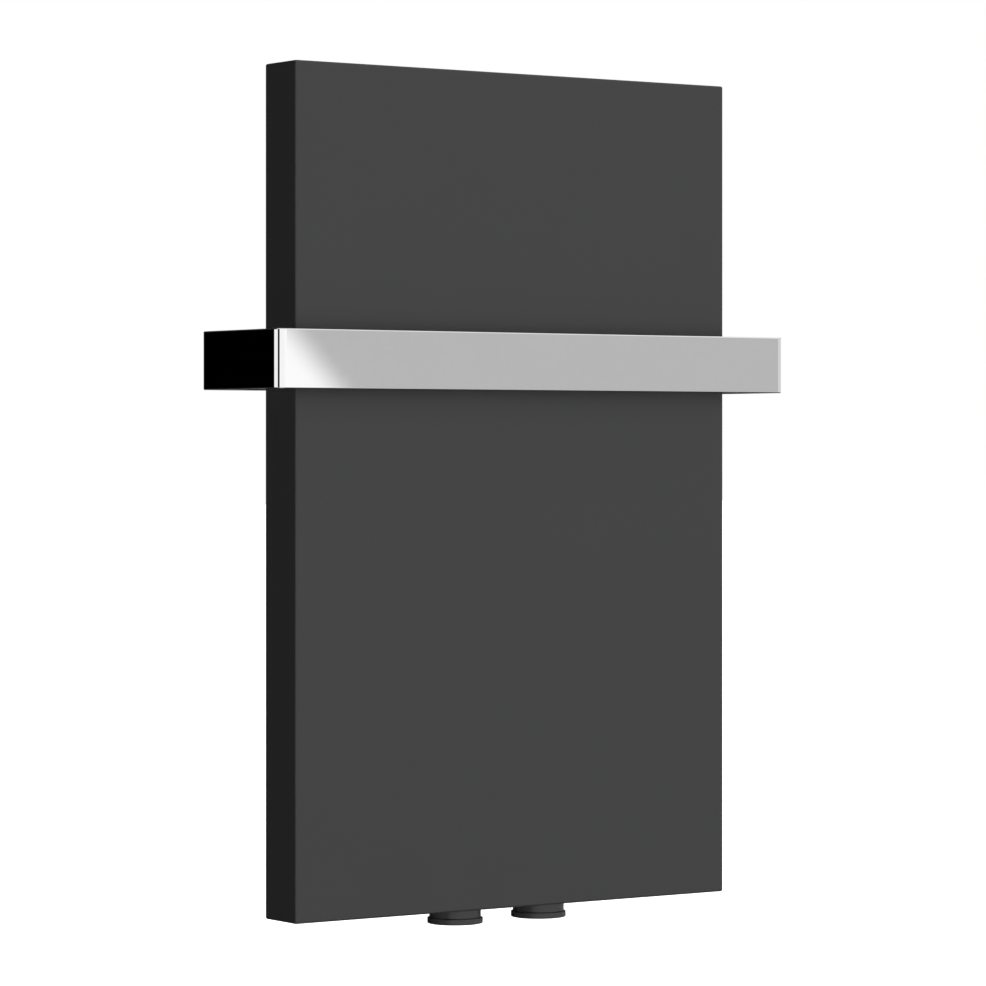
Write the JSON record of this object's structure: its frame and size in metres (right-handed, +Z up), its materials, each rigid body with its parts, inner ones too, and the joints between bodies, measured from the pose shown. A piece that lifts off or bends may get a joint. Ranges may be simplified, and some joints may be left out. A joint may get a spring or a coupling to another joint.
{
  "type": "towel radiator with valves",
  "caption": "Wall-hung flat-panel water radiator with a wrap-around chrome towel rail, air vent, and supply and return valves with hand knobs below.",
  "frame": {"origin": "on the wall plane, in the middle of the panel's width and level with its lower edge", "axes": "+X to the right seen from the front, +Y into the wall, +Z up"},
  "size_m": [0.588, 0.1403, 0.8146],
  "materials": {
    "powder_coat": "satin anthracite powder coat",
    "steel_coated": "anthracite primer coat",
    "zinc_steel": "zinc-plated steel",
    "chrome": "polished chrome",
    "nickel_brass": "nickel-plated brass",
    "brass": "bare machined brass",
    "stainless": "turned stainless steel",
    "knob_plastic": "satin anthracite",
    "rubber": "black EPDM"
  },
  "bodies": {
    "panel": {"front_cover": "powder_coat", "left_side_channel": "steel_coated", "right_side_channel": "steel_coated", "water_tube_1": "steel_coated", "water_tube_2": "steel_coated", "water_tube_3": "steel_coated", "water_tube_4": "steel_coated", "water_tube_5": "steel_coated", "water_tube_6": "steel_coated", "lower_collector": "steel_coated", "upper_collector": "steel_coated", "lower_left_end_cap": "steel_coated", "lower_right_end_cap": "steel_coated", "upper_left_end_cap": "steel_coated", "upper_right_end_cap": "steel_coated", "flow_baffle": "steel_coated", "convector_sheet": "steel_coated", "air_vent_body": "nickel_brass", "air_vent_gasket": "rubber", "lower_left_lug": "steel_coated", "lower_right_lug": "steel_coated", "upper_left_lug": "steel_coated", "upper_right_lug": "steel_coated", "lower_left_wall_bracket": "zinc_steel", "lower_right_wall_bracket": "zinc_steel", "upper_left_wall_bracket": "zinc_steel", "upper_right_wall_bracket": "zinc_steel", "towel_rail": "chrome", "left_rail_block": "zinc_steel", "right_rail_block": "zinc_steel", "left_rail_screw": "zinc_steel", "right_rail_screw": "zinc_steel", "supply_valve_body": "nickel_brass", "supply_bonnet": "nickel_brass", "supply_spindle_seal": "rubber", "supply_nut_collar": "zinc_steel", "supply_tail": "nickel_brass", "supply_union_nut": "nickel_brass", "return_valve_body": "nickel_brass", "return_bonnet": "nickel_brass", "return_spindle_seal": "rubber", "return_nut_collar": "zinc_steel", "return_tail": "nickel_brass", "return_union_nut": "nickel_brass"},
    "supply_hand_wheel": {"supply_knob": "knob_plastic", "supply_knob_screw": "zinc_steel", "supply_knob_cap": "knob_plastic", "supply_drive_nut": "brass"},
    "supply_stem": {"supply_spindle": "stainless", "supply_seat_disc": "rubber"},
    "return_hand_wheel": {"return_knob": "knob_plastic", "return_knob_screw": "zinc_steel", "return_knob_cap": "knob_plastic", "return_drive_nut": "brass"},
    "return_stem": {"return_spindle": "stainless", "return_seat_disc": "rubber"},
    "vent_screw": {"bleed_screw": "brass"}
  },
  "joints": [
    {"name": "supply_knob_turn", "type": "hinge", "parent": "panel", "child": "supply_hand_wheel", "pos_m": [-0.0489, -0.0644, 0], "axis": [0, 0, -1], "range_deg": [0, 720]},
    {"name": "supply_stem_lift", "type": "slide", "parent": "panel", "child": "supply_stem", "axis": [0, 0, -1], "range_m": [0, 0.004]},
    {"name": "return_knob_turn", "type": "hinge", "parent": "panel", "child": "return_hand_wheel", "pos_m": [0.0489, -0.0644, 0], "axis": [0, 0, -1], "range_deg": [0, 720]},
    {"name": "return_stem_lift", "type": "slide", "parent": "panel", "child": "return_stem", "axis": [0, 0, -1], "range_m": [0, 0.004]},
    {"name": "bleed_screw_turn", "type": "hinge", "parent": "panel", "child": "vent_screw", "pos_m": [0.18, -0.0644, 0.78], "axis": [0, 0, 1], "range_deg": [0, 360]}
  ],
  "couplings": [
    {"joint": "supply_stem_lift", "follows": "supply_knob_turn", "m_per_rad": 0.00031831},
    {"joint": "return_stem_lift", "follows": "return_knob_turn", "m_per_rad": 0.00031831}
  ]
}
